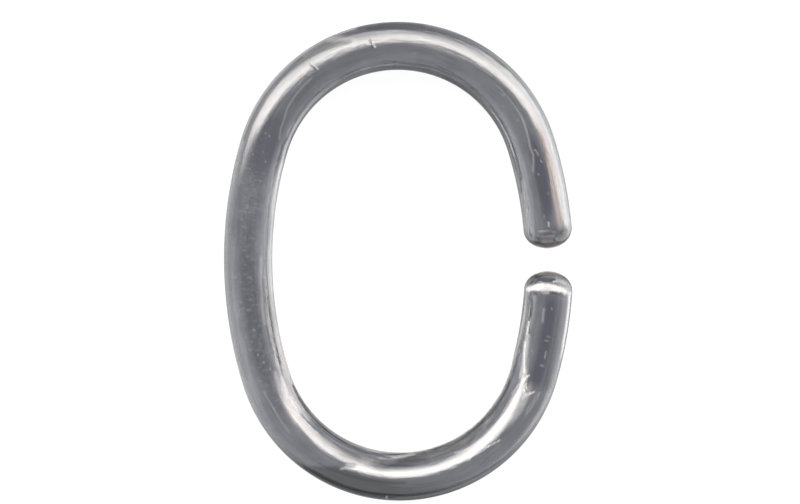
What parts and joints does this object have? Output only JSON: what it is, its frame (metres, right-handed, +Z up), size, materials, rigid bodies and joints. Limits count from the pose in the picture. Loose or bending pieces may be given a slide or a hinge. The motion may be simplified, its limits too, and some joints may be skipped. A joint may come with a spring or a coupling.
{
  "type": "curtain hook",
  "caption": "Open oval ring hook of round clear plastic rod, with a narrow springy mouth in its side and rounded ends, that hangs a curtain's eyelet from a rail.",
  "frame": {"origin": "middle of the oval, on the surface that the hook lies on", "axes": "+Z up, out of the plane of the oval; +Y along the oval's long axis, towards the end that sits on the rail; +X towards the mouth"},
  "size_m": [0.0433, 0.0596, 0.006],
  "materials": {
    "clear_plastic": "clear, faintly grey, moulded, with light wear scratches"
  },
  "bodies": {
    "root": {"curtain_hook": "clear_plastic"}
  },
  "joints": []
}
